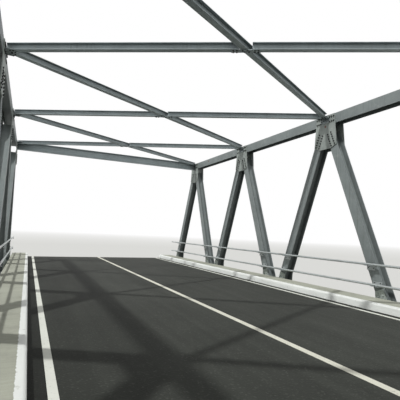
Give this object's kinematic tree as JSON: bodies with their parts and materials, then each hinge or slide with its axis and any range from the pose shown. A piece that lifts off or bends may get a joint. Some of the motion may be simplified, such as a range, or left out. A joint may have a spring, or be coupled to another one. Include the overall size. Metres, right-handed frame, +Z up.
{
  "type": "prefabricated steel through-truss road bridge span",
  "caption": "Steel road bridge span: two slanted-member trusses, overhead cross bracing, portal beams, asphalt road, kerbed walkways and pipe handrails.",
  "frame": {"origin": "midway between the four bearings, at the underside of their base plates", "axes": "+X right across the road, +Y forward along the road, +Z up"},
  "size_m": [9.89, 30.824, 6.715],
  "materials": {
    "galvanised_steel": "hot-dip galvanised, weathered to a matt mid grey",
    "rail_steel": "galvanised pipe, a little brighter than the truss",
    "concrete": "bare floated concrete, with the kerb face painted white",
    "asphalt": "dark grey asphalt",
    "bearing_rubber": "matt black rubber"
  },
  "bodies": {
    "root": {"bearing_base_plates": "galvanised_steel", "bearing_sole_plates": "galvanised_steel", "bottom_bracing_long": "galvanised_steel", "bottom_bracing_plates": "galvanised_steel", "bottom_bracing_short": "galvanised_steel", "bottom_chord_left": "galvanised_steel", "bottom_chord_right": "galvanised_steel", "bottom_gussets_left": "galvanised_steel", "bottom_gussets_right": "galvanised_steel", "cross_girder_1": "galvanised_steel", "cross_girder_2": "galvanised_steel", "cross_girder_3": "galvanised_steel", "cross_girder_4": "galvanised_steel", "cross_girder_5": "galvanised_steel", "cross_girder_6": "galvanised_steel", "cross_girder_7": "galvanised_steel", "deck_sheeting": "galvanised_steel", "diagonals_left": "galvanised_steel", "diagonals_right": "galvanised_steel", "end_posts_left": "galvanised_steel", "end_posts_right": "galvanised_steel", "expansion_joint_front": "galvanised_steel", "expansion_joint_rear": "galvanised_steel", "gusset_stays_left": "galvanised_steel", "gusset_stays_right": "galvanised_steel", "portal_beam_front": "galvanised_steel", "portal_beam_rear": "galvanised_steel", "stringer_1": "galvanised_steel", "stringer_2": "galvanised_steel", "stringer_3": "galvanised_steel", "stringer_4": "galvanised_steel", "stringer_5": "galvanised_steel", "top_bracing_long": "galvanised_steel", "top_bracing_plates": "galvanised_steel", "top_bracing_short": "galvanised_steel", "top_chord_left": "galvanised_steel", "top_chord_right": "galvanised_steel", "top_gussets_left": "galvanised_steel", "top_gussets_right": "galvanised_steel", "handrail_left": "rail_steel", "handrail_right": "rail_steel", "rail_brackets": "rail_steel", "deck_slab": "concrete", "walkway_left": "concrete", "walkway_right": "concrete", "road_surface": "asphalt", "bearing_pads": "bearing_rubber"}
  },
  "joints": []
}
